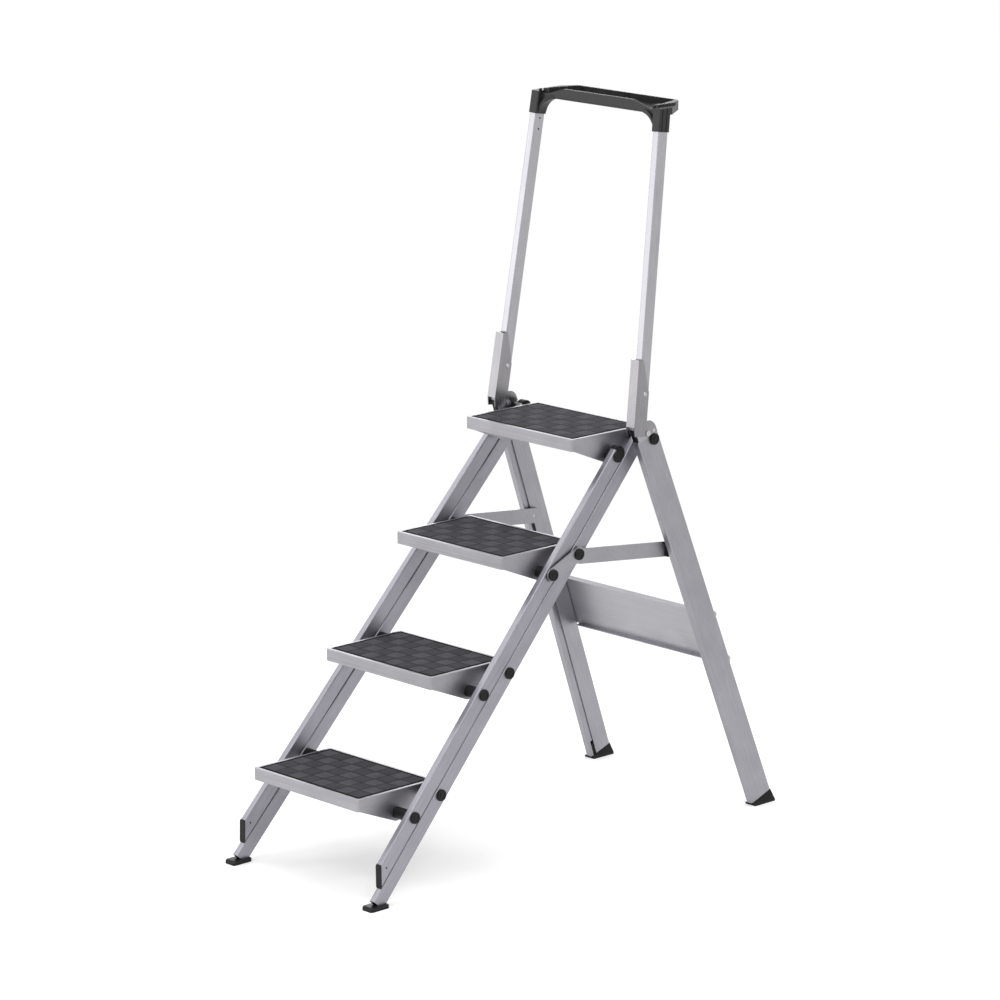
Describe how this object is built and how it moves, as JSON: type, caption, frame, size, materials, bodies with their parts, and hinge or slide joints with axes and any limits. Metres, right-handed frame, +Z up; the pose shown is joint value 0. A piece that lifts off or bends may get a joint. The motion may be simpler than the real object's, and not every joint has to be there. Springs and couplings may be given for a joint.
{
  "type": "folding step stool with handrail",
  "caption": "Folding aluminium step stool with wide tiled treads, double side rails, slotted rear legs and a hinged handrail that carries a tool tray.",
  "frame": {"origin": "on the floor, in the middle of the footprint", "axes": "+Z up, +Y up the stair towards the rear legs, +X to the right seen by a person about to climb"},
  "size_m": [0.557, 1.2216, 1.642],
  "materials": {
    "aluminium": "brushed",
    "black_plastic": "fine grain",
    "mat_rubber": "ribbed tiles",
    "steel": "zinc plated"
  },
  "bodies": {
    "stair_frame": {"rear_rail_left": "aluminium", "rear_rail_right": "aluminium", "rear_rail_caps": "black_plastic", "front_foot_left": "black_plastic", "front_foot_right": "black_plastic", "rear_rod_1": "steel", "rear_rod_2": "steel", "rear_rod_3": "steel", "rear_rod_4": "steel", "rear_sleeves_1": "black_plastic", "rear_sleeves_2": "black_plastic", "rear_sleeves_3": "black_plastic", "rear_sleeves_4": "black_plastic", "rear_rod_caps": "black_plastic", "leg_sleeves": "black_plastic", "leg_pivot_caps": "black_plastic"},
    "front_rails": {"front_rail_left": "aluminium", "front_rail_right": "aluminium", "front_rail_plugs": "black_plastic", "front_rail_caps": "black_plastic", "front_rod_1": "steel", "front_rod_2": "steel", "front_rod_3": "steel", "front_rod_4": "steel", "front_sleeves_1": "black_plastic", "front_sleeves_2": "black_plastic", "front_sleeves_3": "black_plastic", "front_sleeves_4": "black_plastic", "front_rod_caps": "black_plastic"},
    "first_step": {"step_1": "aluminium", "mat_1": "mat_rubber"},
    "second_step": {"step_2": "aluminium", "mat_2": "mat_rubber"},
    "third_step": {"step_3": "aluminium", "mat_3": "mat_rubber", "link_bar_left": "aluminium", "link_bar_right": "aluminium", "link_sliders": "black_plastic", "link_pins": "steel"},
    "top_step": {"step_4": "aluminium", "mat_4": "mat_rubber"},
    "rear_legs": {"rear_leg_left": "aluminium", "rear_leg_right": "aluminium", "leg_head_left": "aluminium", "leg_head_right": "aluminium", "head_pads": "black_plastic", "rear_foot_left": "black_plastic", "rear_foot_right": "black_plastic", "cross_panel": "aluminium", "panel_bolts": "steel", "handrail_hinge_pins": "steel"},
    "handrail": {"handrail_bracket_left": "aluminium", "handrail_bracket_right": "aluminium", "handrail_tube_left": "aluminium", "handrail_tube_right": "aluminium", "handrail_stop_pins": "steel", "bracket_rivets": "steel", "tool_tray": "black_plastic", "tray_screws": "steel"}
  },
  "joints": [
    {"name": "fold", "type": "hinge", "parent": "stair_frame", "child": "third_step", "pos_m": [0, 0.03491, 0.67334], "axis": [-1, 0, 0], "range_deg": [0, 125]},
    {"name": "first_step_fold", "type": "hinge", "parent": "stair_frame", "child": "first_step", "pos_m": [0, -0.39169, 0.21334], "axis": [-1, 0, 0], "range_deg": [0, 125]},
    {"name": "second_step_fold", "type": "hinge", "parent": "stair_frame", "child": "second_step", "pos_m": [0, -0.17839, 0.44334], "axis": [-1, 0, 0], "range_deg": [0, 125]},
    {"name": "top_step_fold", "type": "hinge", "parent": "stair_frame", "child": "top_step", "pos_m": [0, 0.24821, 0.90334], "axis": [-1, 0, 0], "range_deg": [0, 125]},
    {"name": "front_rails_fold", "type": "hinge", "parent": "third_step", "child": "front_rails", "pos_m": [0, -0.04471, 0.6397], "axis": [-1, 0, 0], "range_deg": [-125, 0]},
    {"name": "rear_legs_fold", "type": "hinge", "parent": "stair_frame", "child": "rear_legs", "pos_m": [0, 0.24821, 0.90334], "axis": [-1, 0, 0], "range_deg": [0, 60.17]},
    {"name": "handrail_fold", "type": "hinge", "parent": "rear_legs", "child": "handrail", "pos_m": [0, 0.22683, 0.91946], "axis": [1, 0, 0], "range_deg": [0, 28.5]}
  ],
  "couplings": [
    {"joint": "first_step_fold", "follows": "fold", "ratio": 1},
    {"joint": "second_step_fold", "follows": "fold", "ratio": 1},
    {"joint": "top_step_fold", "follows": "fold", "ratio": 1},
    {"joint": "front_rails_fold", "follows": "fold", "ratio": -1},
    {"joint": "rear_legs_fold", "follows": "fold", "ratio": 0.48132}
  ]
}
